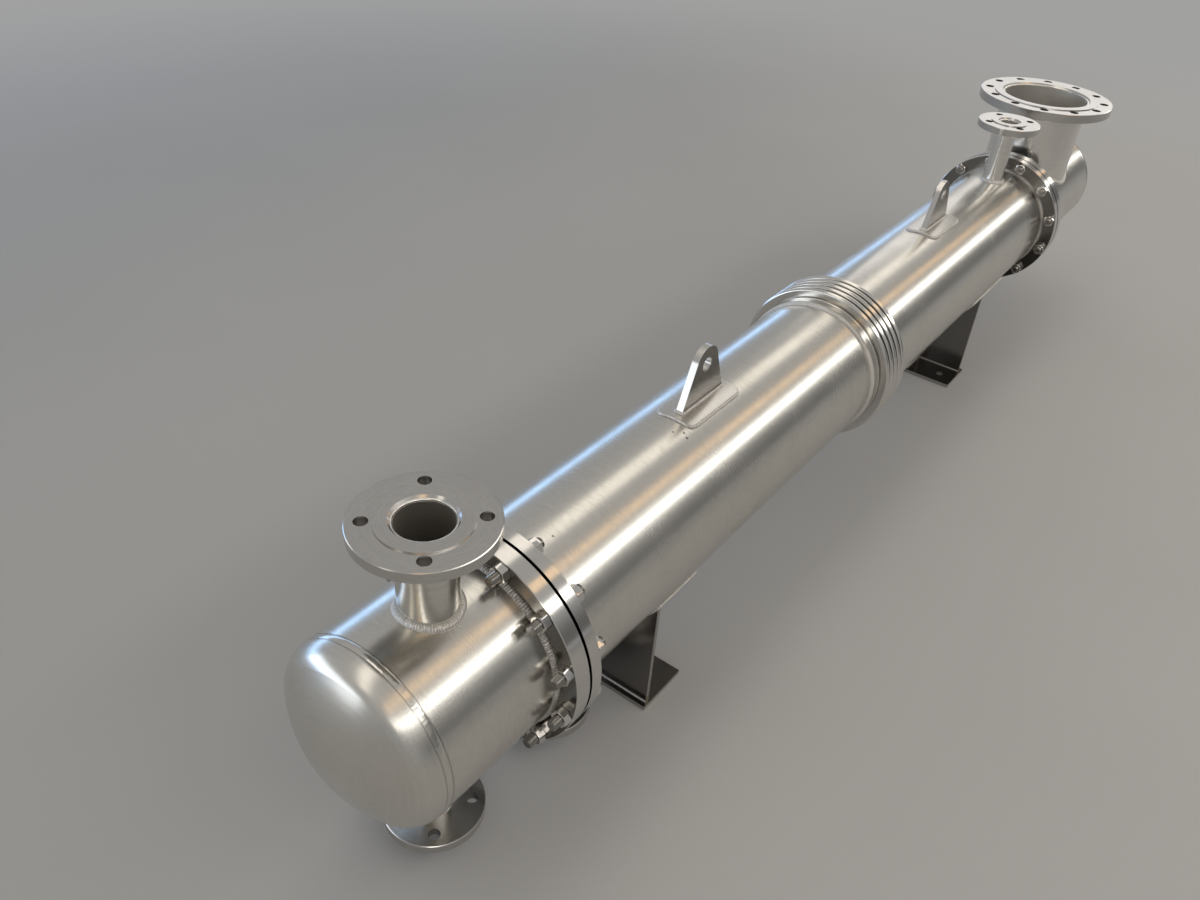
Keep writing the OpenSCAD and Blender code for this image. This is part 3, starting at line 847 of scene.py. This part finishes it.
@dataclass(frozen=True)
class StudBolting:
    """Studs and nuts of one body joint.

    Attributes:
        end: Which joint.
        circle, count: Radius of the circle of studs, and their number.
        thread, depth, pitch: Outer radius, depth and pitch of the thread.
        point: Length of the chamfer at a stud's end.
        flats, height: Width of a nut across its flats, and its height.
        long_end, short_end: Length of stud beyond the outer and the inner nut.
        seed: Seed of the turns of studs and nuts.
    """

    end: End
    circle: float = 156 * MM
    count: int = 12
    thread: float = 8 * MM
    depth: float = 0.95 * MM
    pitch: float = 2 * MM
    point: float = 1.2 * MM
    flats: float = 24 * MM
    height: float = 13 * MM
    long_end: float = 15 * MM
    short_end: float = 8 * MM
    seed: int = 7

    def nut(self) -> Piece:
        """Models one nut standing on the origin with its axis along Z.

        Returns:
            The nut, chamfered on both faces and countersunk at the thread.
        """
        corner = self.flats / math.sqrt(3)
        face, brim = self.flats * 0.475, corner * 1.02
        chamfer = (corner - face) * math.tan(math.radians(28))
        rows = [(0, face), (chamfer, brim), (self.height - chamfer, brim), (self.height, face)]
        blank = Bench.turned(48, rows)
        Bench.clear()
        bpy.ops.mesh.primitive_cylinder_add(
            vertices=6, radius=corner, depth=self.height, location=(0, 0, self.height / 2)
        )
        piece = bpy.context.object
        Bench.settle()
        Bench.modify(
            piece, "BEVEL", width=0.5 * MM, segments=2, limit_method="ANGLE", angle_limit=math.radians(40)
        )
        Bench.modify(piece, "BOOLEAN", operation="INTERSECT", object=blank, solver="EXACT")
        bpy.data.objects.remove(blank)
        Bench.grab(piece)
        with Bench.edit():
            Bench.choose(
                piece, "FACE",
                lambda end: abs(end.normal.z) > 0.99 and end.calc_center_median().xy.length < 1 * MM,
            )
            bpy.ops.mesh.inset(thickness=face - self.thread * 1.14, use_individual=True)
            bpy.ops.mesh.inset(thickness=0.5 * MM, depth=-0.8 * MM, use_individual=True)
        return piece

    def stud(self, length: float) -> Piece:
        """Models one stud from the origin up along Z, threaded at both ends.

        Args:
            length: Length over both ends.

        Returns:
            The stud with a chamfered point at each end.
        """
        root = self.thread - self.depth
        rows = [(0.0, root * 0.9)]
        for rise, end in (
            (self.point, self.long_end + 1 * MM),
            (length - self.short_end - 1 * MM, length - 2.8 * MM),
        ):
            rows.append((rise, self.thread))
            while rise < end:
                rows += [(rise + self.pitch / 2, root), (rise + self.pitch, self.thread)]
                rise += self.pitch
        rows.append((length, root * 0.9))
        return Bench.turned(20, rows)

    def _spread(self, pattern: Piece, station: float, way: int, rng: random.Random) -> list[Piece]:
        """Copies a pattern to every stud position.

        Args:
            pattern: Piece with its foot at the origin and its axis along Z.
            station: Place of the foot along the axis.
            way: Sign of the way that the piece points.
            rng: Source of the turn of each copy.

        Returns:
            The copies, each with its own mesh.
        """
        copies = []
        tip = Matrix.Rotation(way * math.pi / 2, 4, "Y")
        for index in range(self.count):
            angle = (index + 0.5) * math.tau / self.count
            spin = Matrix.Rotation(rng.uniform(0, math.tau), 4, "Z")
            height = AXIS_HEIGHT + self.circle * math.cos(angle)
            place = Matrix.Translation((station, self.circle * math.sin(angle), height))
            copy = pattern.copy()
            copy.data = pattern.data.copy()
            bpy.context.collection.objects.link(copy)
            copy.matrix_world = place @ tip @ spin
            copies.append(copy)
        return copies

    def build(self) -> None:
        """Fits every stud with a nut on each side."""
        rng = random.Random(self.seed)
        name, way = self.end.value, self.end.inward
        outer, inner = side(f"{name}_channel_flange", -way), side(f"{name}_tubesheet", way)
        length = abs(inner - outer) + 2 * self.height + self.long_end + self.short_end
        nut, stud = self.nut(), self.stud(length)
        studs = self._spread(stud, outer - way * (self.height + self.long_end), way, rng)
        nuts = self._spread(nut, outer, -way, rng) + self._spread(nut, inner, way, rng)
        for pattern in (nut, stud):
            bpy.data.objects.remove(pattern)
        low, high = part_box(f"{name}_gasket")
        # Studs are painted dark for the shade in their thread grooves.
        for part, pieces, tones, angle in (
            ("stud", studs, ((0.34, 0.325, 0.305), (0.17, 0.16, 0.15), 0.24), 30),
            ("nut", nuts, ((0.70, 0.685, 0.66), (0.46, 0.45, 0.43), 0.07), 22),
        ):
            # The stretch between the flanges is painted dark as painted shade.
            metal = BrushedSteel(
                f"{name}_{part}_steel", Grain(GrainRun.ALONG_Y), *tones, spread=0.03, pitch=0.8 * MM,
                length=6 * MM, relief=0.004 * MM, clouds=0.1, fleck=0.2,
                shaded_stretch=(low.x - 3 * MM, high.x + 3 * MM),
            )
            Bench.close(Bench.joined(pieces), f"{name}_body_{part}s", metal.material(), "stud", angle)
        LOG.info("%s body joint: %d studs and %d nuts", name, len(studs), len(nuts))


@dataclass(frozen=True)
class BarrelWelds:
    """Ring welds that join one end's barrels to its flange, tubesheet and head.

    Attributes:
        end: Which end.
        metal: Finish of the fillets.
        wide, high: Half sizes of a fillet along the barrel and away from it.
        seam_wide, seam_high: The same of the dressed seam.
    """

    end: End
    metal: Material
    wide: float = 7.0 * MM
    high: float = 4.8 * MM
    seam_wide: float = 6.0 * MM
    seam_high: float = 1.9 * MM

    def build(self) -> None:
        """Lays the fillets at the two plates and the dressed seam of the head."""
        name, way = self.end.value, self.end.inward
        for bead, plate, looks in (("channel", "channel_flange", -way), ("tubesheet", "tubesheet", way)):
            station = side(f"{name}_{plate}", looks) - looks * 0.2 * MM
            piece = BEADS.barrel_ring(station, BARREL_RADIUS - 0.4 * MM, self.wide, self.high)
            Bench.close(piece, f"{name}_{bead}_bead", self.metal)
        finish = BrushedSteel(f"{name}_head_seam_steel", ROUND_BARREL, roughness=0.2, relief=0.02 * MM)
        station = side(f"{name}_head", way)
        piece = BEADS.barrel_ring(station, BARREL_RADIUS - 1.2 * MM, self.seam_wide, self.seam_high)
        Bench.close(piece, f"{name}_head_seam", finish.material())
        LOG.info("%s barrels: three ring beads", name)


@dataclass(frozen=True)
class NozzleWelds:
    """Welds of one nozzle: at its foot, under its flange and at its mouth.

    Attributes:
        name, former: The nozzle's name in the nodes, and the node that it stands on.
        wall: Wall of its pipe.
        leg, neck: Radius of the beads at its foot and under its flange.
        lip: Half height of the bead at its mouth.
    """

    name: str
    former: str
    wall: float = 2.6 * MM
    leg: float = 6.0 * MM
    neck: float = 2.6 * MM
    lip: float = 2.6 * MM

    def build(self) -> None:
        """Lays the nozzle's three beads."""
        low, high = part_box(f"{self.name}_pipe")
        flange_low, flange_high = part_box(f"{self.name}_flange")
        radius = half_width(f"{self.name}_pipe")
        centre = middle(f"{self.name}_pipe")
        x, y, _ = centre
        up = centre.z > AXIS_HEIGHT
        way = 1 if up else -1
        under, mouth = (flange_low.z, high.z) if up else (flange_high.z, low.z)
        grain = Grain(GrainRun.ROUND_Z, tuple(centre))
        metal = WeldMetal(f"{self.name}_weld", grain, radius).material()
        path = Bench.circle(radius + 1.0 * MM, 160, tuple(centre))
        foot = BEADS.laid(path, self.former, not up, -0.6 * MM, self.leg)
        Bench.close(foot, f"{self.name}_foot_bead", metal)
        spot = (x, y, under - way * self.neck * 0.3)
        ring = BEADS.ring(spot, grain.run, radius + 0.6 * MM, self.neck, self.neck)
        Bench.close(ring, f"{self.name}_neck_bead", metal)
        thick = self.wall * 0.85
        spot = (x, y, mouth + way * 0.6 * MM)
        ring = BEADS.ring(spot, grain.run, radius - self.wall + thick + 0.25 * MM, self.lip, thick)
        polish = BrushedSteel(f"{self.name}_mouth_steel", grain, light=(0.78, 0.76, 0.73), roughness=0.14)
        Bench.close(ring, f"{self.name}_mouth_bead", polish.material())
        LOG.info("%s nozzle: foot, neck and mouth beads", self.name)


@dataclass(frozen=True)
class BellowsWelds:
    """Fillets that join the collars and cuffs of the bellows to the shell.

    Attributes:
        wide, high: Half sizes of a fillet along the shell and away from it.
    """

    wide: float = 6.5 * MM
    high: float = 4.8 * MM

    def build(self) -> None:
        """Lays a fillet at the outer end of each collar."""
        metal = WeldMetal("collar_weld", ROUND_BARREL, BARREL_RADIUS, 3.2 * MM).material()
        for end in End:
            station = side(f"{end.value}_collar", -end.inward) - end.inward * 1.5 * MM
            piece = BEADS.barrel_ring(station, BARREL_RADIUS - 0.2 * MM, self.wide, self.high)
            Bench.close(piece, f"{end.value}_collar_bead", metal)
        LOG.info("bellows: two collar fillets")


@dataclass(frozen=True)
class LugWelds:
    """Welds round one lifting lug and round its pad.

    Attributes:
        end: Which lug.
        pad_leg, pad_corner: Radius of the bead round the pad, and of its corners.
        foot_leg, foot_corner: The same of the bead round the lug's foot.
    """

    end: End
    pad_leg: float = 2.6 * MM
    pad_corner: float = 14.7 * MM
    foot_leg: float = 3.2 * MM
    foot_corner: float = 3.0 * MM

    def build(self) -> None:
        """Lays the bead round the pad and the one round the lug."""
        name = self.end.value
        metal = WeldMetal(f"{name}_lug_weld", Grain(GrainRun.ALONG_X)).material()
        for bead, part, corner, former, lift, leg in (
            ("pad", "lug_pad", self.pad_corner, "shell", 1.4 * MM, self.pad_leg),
            ("foot", "lug", self.foot_corner, "lug_pad", 0.6 * MM, self.foot_leg),
        ):
            path = BEADS.outline(f"{name}_{part}", corner)
            piece = BEADS.laid(path, f"{name}_{former}", False, lift, leg)
            Bench.close(piece, f"{name}_lug_{bead}_bead", metal)
        LOG.info("%s lug: two beads", name)


@dataclass(frozen=True)
class SaddleWelds:
    """Welds of one saddle.

    Attributes:
        end: Which saddle.
        leg, off: Radius of the beads between its plates, and their middles' distance from them.
        pad_leg: Radius of the beads round the wear pad.
        pad_radius, pad_half: Outer radius of the wear pad with its gap, and its half angle in degrees.
    """

    end: End
    leg: float = 1.3 * MM
    off: float = 0.8 * MM
    pad_leg: float = 2.6 * MM
    pad_radius: float = 141.1 * MM
    pad_half: float = 61.0

    def _close(self, beads: Sequence[Piece], part: str, run: GrainRun) -> None:
        """Joins beads that run one way and dresses them."""
        metal = WeldMetal(f"{self.end.value}_{part}_weld", Grain(run), self.pad_radius).material()
        Bench.close(Bench.joined(beads), f"{self.end.value}_{part}_beads", metal)

    def build(self) -> None:
        """Lays the beads of web, rib, base plate and wear pad."""
        name, way = self.end.value, self.end.inward
        pad = [side(f"{name}_wear_pad", hand) for hand in (-1, 1)]
        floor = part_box(f"{name}_saddle_base")[1].z + self.off
        inner = side(f"{name}_saddle_web", way) + way * self.off
        outer = side(f"{name}_saddle_web", -way) - way * self.off
        tip = side(f"{name}_saddle_rib", way)
        flank, edge = half_width(f"{name}_saddle_rib") + self.off, half_width(f"{name}_saddle_web")
        crown = AXIS_HEIGHT - self.pad_radius - 0.6 * MM
        turn, reach = math.radians(self.pad_half), self.pad_radius - 2.3 * MM
        across = [((outer, -edge, floor), (outer, edge, floor))]
        along, upright, lips = [], [], []
        for hand in (-1, 1):
            y = hand * flank
            across.append(((inner, y, floor), (inner, hand * edge, floor)))
            along += [((inner, y, z), (tip, y, z)) for z in (floor, crown)]
            upright.append(((inner, y, floor), (inner, y, crown)))
            y, z = hand * reach * math.sin(turn), AXIS_HEIGHT - reach * math.cos(turn)
            lips.append(((pad[0], y, z), (pad[1], y, z)))
        across, along, upright = (
            [BEADS.straight(*ends, self.leg) for ends in run] for run in (across, along, upright)
        )
        across.append(BEADS.straight((tip, -flank, floor), (tip, flank, floor), self.leg * 0.9))
        along += [BEADS.straight(*ends, self.pad_leg) for ends in lips]
        half = math.degrees(math.asin(edge / self.pad_radius)) - 1.0
        arcs = [BEADS.arc(station, self.pad_radius, half, self.leg) for station in (inner, outer)]
        lip = self.pad_radius - self.pad_leg
        arcs += [BEADS.arc(station, lip, self.pad_half, self.pad_leg) for station in pad]
        self._close(across, "saddle_cross", GrainRun.ALONG_Y)
        self._close(along, "saddle_long", GrainRun.ALONG_X)
        self._close(upright, "saddle_upright", GrainRun.ALONG_Z)
        self._close(arcs, "saddle_round", GrainRun.ROUND_X)
        LOG.info("%s saddle: beads laid", name)


@dataclass(frozen=True)
class SoftBox:
    """One soft box of the studio.

    Attributes:
        name: Its name.
        place, aim: Its middle, and the point that it faces.
        size: Its length and width.
        power: Its power in watts.
        colour: Its colour.
    """

    name: str
    place: Triple
    aim: Triple
    size: tuple[float, float]
    power: float
    colour: Triple

    def hang(self) -> None:
        """Adds the lamp, with its length level."""
        light = bpy.data.lights.new(self.name, "AREA")
        light.shape = "RECTANGLE"
        light.size, light.size_y = self.size
        light.energy = self.power
        light.color = self.colour
        holder = bpy.data.objects.new(self.name, light)
        holder.visible_camera = False
        bpy.context.collection.objects.link(holder)
        back = (Vector(self.place) - Vector(self.aim)).normalized()
        level = Vector((0, 0, 1)).cross(back).normalized()
        turn = Matrix((level, back.cross(level), back)).transposed().to_4x4()
        holder.matrix_world = Matrix.Translation(self.place) @ turn


AXIS_FAR = (3.5, 0.0, AXIS_HEIGHT)


def beside(angle: float, distance: float) -> Triple:
    """Gives a place at an angle in degrees from the top of the long axis and a distance from it."""
    turn = math.radians(angle)
    return (AXIS_FAR[0], distance * math.sin(turn), AXIS_HEIGHT + distance * math.cos(turn))


SOFT_BOXES = (
    SoftBox("key_box", beside(-50.5, 2.6), AXIS_FAR, (17.0, 0.42), 82, (1.0, 0.97, 0.92)),
    SoftBox("warm_box", beside(-28, 3.2), AXIS_FAR, (17.0, 0.5), 23, (1.0, 0.62, 0.27)),
    SoftBox("top_box", beside(12, 3.2), AXIS_FAR, (17.0, 1.0), 51, (1.0, 0.92, 0.80)),
    SoftBox("cool_box", beside(86.6, 7.5), AXIS_FAR, (26.0, 1.5), 270, (0.33, 0.59, 1.0)),
    SoftBox("ceiling_box", beside(0, 4.6), AXIS_FAR, (17.0, 3.6), 85, (1.0, 0.98, 0.96)),
    SoftBox("window_box", (-6.3, 5.0, 1.4), (-1.2, 0.0, 0.4), (8.5, 2.4), 100, (0.86, 0.93, 1.0)),
    SoftBox("end_box", (6.1, 1.3, 2.1), (1.0, 0.0, 0.57), (3.2, 1.8), 15, (1.0, 0.97, 0.95)),
)


@dataclass(frozen=True)
class Studio:
    """Pale floor, soft boxes and a pale surround.

    Attributes:
        horizon, zenith: Colours of the surround low down and overhead.
        dim: Colour of the surround low down beyond the far end.
        pale, worn: Colours of the floor.
        even: Distances between which the floor takes the colour of the horizon.
    """

    horizon: Triple = (0.36, 0.358, 0.355)
    zenith: Triple = (0.46, 0.455, 0.445)
    dim: Triple = (0.15, 0.148, 0.145)
    pale: Triple = (0.395, 0.395, 0.39)
    worn: Triple = (0.36, 0.36, 0.355)
    even: tuple[float, float] = (2.4, 5.4)

    @staticmethod
    def seen(bench: NodeBench) -> Signal:
        """Gives 1 for rays seen straight, mirrored or through glass, and 0 for light that spreads."""
        camera, glossy, through = (
            bench.node("ShaderNodeLightPath", output=f"Is {kind} Ray")
            for kind in ("Camera", "Glossy", "Transmission")
        )
        return bench.maths("MAXIMUM", bench.maths("MAXIMUM", camera, glossy), through)

    def floor(self) -> None:
        """Lays the floor, which takes the even colour of the surround far away."""
        Bench.clear()
        bpy.ops.mesh.primitive_plane_add(size=60, location=(0, 0, -0.5 * MM))
        floor = bpy.context.object
        floor.name = "floor"
        bench = NodeBench.material("floor_paint")
        x, y, _ = bench.parts(bench.spot())
        colour = bench.blend(bench.noise(bench.spot(), scale=1.3, detail=4.0), self.pale, self.worn)
        far = bench.span(x, y).step(*self.even) * self.seen(bench)
        paint = bench.node("ShaderNodeBsdfPrincipled", inputs={"Base Color": colour, "Roughness": 0.65})
        even = bench.node("ShaderNodeEmission", inputs={"Color": self.horizon, "Strength": 1.0})
        mixed = bench.node("ShaderNodeMixShader", inputs={0: far, 1: paint, 2: even})
        floor.data.materials.append(bench.finish(mixed))

    def surround(self) -> None:
        """Sets the surround, pale all round but for a dim stretch low down."""
        bench = NodeBench(bpy.data.worlds.new("studio"))
        x, y, z = bench.parts(bench.node("ShaderNodeTexCoord", output="Generated"))
        colour = bench.blend(z.step(-0.1, 0.8), self.horizon, self.zenith)
        ahead = (x * 0.64 - y * 0.77).step(0.1, 0.9)
        colour = bench.blend(ahead * z.step(0.5, 0.1), colour, self.dim)
        light = bench.node("ShaderNodeBackground", inputs={"Color": colour, "Strength": 1.0})
        bpy.context.scene.world = bench.finish(light, "ShaderNodeOutputWorld")

    def build(self) -> None:
        """Sets up the whole studio."""
        self.floor()
        self.surround()
        for box in SOFT_BOXES:
            box.hang()
        LOG.info("studio: floor, surround and %d soft boxes", len(SOFT_BOXES))


@dataclass(frozen=True)
class PhotoCamera:
    """Camera at the viewing angle of the photograph.

    Attributes:
        place: Its position from the foot of the inlet nozzle's axis, in metres.
        azimuth, drop: Heading from the long axis and angle below the horizon, in degrees.
        roll: Turn about its own line of sight, in degrees.
        lens, sensor: Focal length and width of the sensor in millimetres.
    """

    place: Triple = (-0.6143, -0.6611, 1.3388)
    azimuth: float = 34.54
    drop: float = 35.93
    roll: float = 4.466
    lens: float = 29.99
    sensor: float = 36.0

    def build(self) -> None:
        """Adds the camera and makes it the scene's own."""
        heading, drop, roll = (math.radians(angle) for angle in (self.azimuth, self.drop, self.roll))
        reach = math.cos(drop)
        ahead = Vector((reach * math.cos(heading), reach * math.sin(heading), -math.sin(drop)))
        level = ahead.cross(Vector((0, 0, 1))).normalized()
        upright = level.cross(ahead)
        right = level * math.cos(roll) + upright * math.sin(roll)
        top = upright * math.cos(roll) - level * math.sin(roll)
        data = bpy.data.cameras.new("photo_camera")
        data.lens = self.lens
        data.sensor_width = self.sensor
        data.sensor_fit = "HORIZONTAL"
        data.clip_start = 0.02
        data.clip_end = 200.0
        holder = bpy.data.objects.new("photo_camera", data)
        bpy.context.collection.objects.link(holder)
        turn = Matrix((right, top, -ahead)).transposed().to_4x4()
        place = Vector(self.place) + Vector((middle("inlet_pipe").x, 0, 0))
        holder.matrix_world = Matrix.Translation(place) @ turn
        bpy.context.scene.camera = holder
        LOG.info("camera: %.1f mm lens", self.lens)


class Dresser:
    """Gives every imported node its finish."""

    def __init__(self) -> None:
        """Lists the finishes of all nodes."""
        self.finishes: dict[str, BrushedSteel | GasketSheet] = {}
        for end in End:
            self._body(end)
            self._saddle(end)
            self._lug(end)
        self._middle()
        for nozzle in ("inlet", "drain", "shell_drain"):
            self._nozzle(nozzle)
        # These two pipes are painted paler: painted light for their brighter reflections.
        for nozzle in ("shell_vent", "outlet"):
            self._nozzle(nozzle, light=(0.82, 0.80, 0.76), shade=(0.64, 0.625, 0.59))

    def _note(self, node: str, grain: Grain, **looks: object) -> None:
        """Lists a brushed finish for a node."""
        self.finishes[node] = BrushedSteel(f"{node}_steel", grain, **looks)

    def _body(self, end: End) -> None:
        """Lists the barrel, head, flanges, collar and gasket of an end."""
        name = end.value
        # A band beside the head seam is painted darker on channel and head: partly a dark weld toe, partly
        # painted shade in the crease.
        toe = side(f"{name}_head", end.inward)
        self._note(f"{name}_channel", ROUND_BARREL, toe=toe)
        self._note(
            f"{name}_head", ROUND_BARREL, roughness=0.26, spread=0.03, length=70 * MM, relief=0.003 * MM,
            clouds=0.3, fleck=0.3, toe=toe,
        )
        # Faces looking along the axis are painted darker: painted shade for their dark reflections.
        for part in ("channel_flange", "tubesheet"):
            self._note(
                f"{name}_{part}", ROUND_BARREL, light=(0.68, 0.665, 0.64), shade=(0.54, 0.525, 0.50),
                roughness=0.15, spread=0.04, pitch=0.6 * MM, plate="X", mill=(0.24, 0.23, 0.215),
            )
        self._note(
            f"{name}_collar", ROUND_BARREL, light=(0.73, 0.71, 0.68), roughness=0.15, spread=0.04, fleck=0.3
        )
        self.finishes[f"{name}_gasket"] = GasketSheet()

    def _saddle(self, end: End) -> None:
        """Lists the plates and the wear pad of a saddle."""
        name = end.value
        self._note(f"{name}_wear_pad", ROUND_BARREL, light=(0.74, 0.725, 0.70), roughness=0.2)
        # Saddle plates are painted darker all over, and darker still on their broad faces: painted shade
        # under the barrel, for their dark reflections.
        for part, run, plate in (
            ("web", GrainRun.ALONG_Z, "X"), ("rib", GrainRun.ALONG_Z, "Y"), ("base", GrainRun.ALONG_X, "Z"),
        ):
            self._note(
                f"{name}_saddle_{part}", Grain(run), light=(0.48, 0.465, 0.44), shade=(0.38, 0.365, 0.345),
                roughness=0.2, spread=0.04, length=60 * MM, relief=0.003 * MM, clouds=0.4, fleck=0.25,
                plate=plate, mill=(0.20, 0.19, 0.178),
            )

    def _lug(self, end: End) -> None:
        """Lists a lifting lug and its pad."""
        # The lug's broad faces are painted darker: painted shade for their dark reflections.
        for part, run, roughness, plate in (
            ("lug_pad", GrainRun.ALONG_X, 0.3, ""), ("lug", GrainRun.ALONG_Z, 0.2, "Y"),
        ):
            self._note(
                f"{end.value}_{part}", Grain(run), light=(0.68, 0.665, 0.64), shade=(0.52, 0.505, 0.48),
                roughness=roughness, spread=0.04, plate=plate, mill=(0.22, 0.21, 0.195),
            )

    def _middle(self) -> None:
        """Lists the shell, the bellows and what is inside."""
        start = middle("inlet_pipe").x
        specks = tuple((start + x, y, z) for x, y, z in (
            (0.5174, -0.0186, 0.4452), (0.5300, -0.0315, 0.4428), (0.5249, -0.0408, 0.4403),
            (0.2027, -0.0324, 0.4426),
        ))
        self._note("near_shell", ROUND_BARREL, specks=specks)
        self._note("far_shell", ROUND_BARREL)
        # The bellows grooves get painted shade.
        crest = half_width("bellows")
        self._note(
            "bellows", Grain(GrainRun.ROUND_X, (middle("bellows").x, 0.0, AXIS_HEIGHT)),
            light=(0.74, 0.72, 0.69), roughness=0.14, spread=0.04, relief=0.004 * MM, fleck=0.2,
            groove=(crest - 3 * MM, crest - 11 * MM, 37.5 * MM),
        )
        self._note("tube_bundle", Grain(GrainRun.ALONG_X), roughness=0.3)
        self._note("baffles", Grain(GrainRun.ALONG_Y), roughness=0.4)

    def _nozzle(self, name: str, **tones: Triple) -> None:
        """Lists the pipe and the flange of a nozzle.

        Args:
            name: The nozzle's name in the nodes.
            tones: Colours of its pipe, where they aren't the usual ones; the paler ones are painted light for
                brighter reflections.
        """
        grain = Grain(GrainRun.ROUND_Z, tuple(middle(f"{name}_flange")))
        radius, rim = half_width(f"{name}_pipe"), half_width(f"{name}_flange")
        low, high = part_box(f"{name}_flange")
        skin = 4 * MM
        hole_low, hole_high = low.z + skin * (low.z < AXIS_HEIGHT), high.z - skin * (low.z > AXIS_HEIGHT)
        self._note(
            f"{name}_pipe", grain, roughness=0.20, length=40 * MM, relief=0.022 * MM, bore=radius - 1.2 * MM,
            **tones,
        )
        # The bolt-hole walls are left rough and painted darker as painted shade.
        self._note(
            f"{name}_flange", grain, light=(0.61, 0.595, 0.57), shade=(0.45, 0.435, 0.415),
            roughness=0.20, spread=0.04, pitch=0.8 * MM, relief=0.006 * MM, clouds=0.3,
            drilled=(radius + 6 * MM, rim - 3 * MM, hole_low, hole_high),
        )

    def build(self) -> None:
        """Dresses every node."""
        made: dict[BrushedSteel | GasketSheet, Material] = {}
        for node, finish in self.finishes.items():
            if finish not in made:
                made[finish] = finish.material()
            for slot in bpy.data.objects[node].material_slots:
                slot.material = made[finish]
        left = sorted(set(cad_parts) - set(self.finishes))
        LOG.info("dressed %d nodes, left %s", len(self.finishes), left)


def main() -> None:
    """Builds the looks in order."""
    logging.basicConfig(level=logging.INFO, format="%(message)s")
    bpy.context.scene.view_settings.view_transform = "Standard"
    PhotoCamera().build()
    Dresser().build()
    for end in End:
        StudBolting(end).build()
    metal = WeldMetal("barrel_weld", ROUND_BARREL, BARREL_RADIUS, 3.8 * MM, (0.27, 0.255, 0.24)).material()
    for end in End:
        BarrelWelds(end, metal).build()
    BellowsWelds().build()
    for end in End:
        LugWelds(end).build()
        SaddleWelds(end).build()
    for nozzle in (
        NozzleWelds("inlet", "near_channel"),
        NozzleWelds("drain", "near_channel"),
        NozzleWelds("shell_drain", "near_shell"),
        NozzleWelds("shell_vent", "far_shell"),
        NozzleWelds("outlet", "far_channel", wall=4 * MM),
    ):
        nozzle.build()
    Studio().build()


if __name__ == "__main__":
    main()
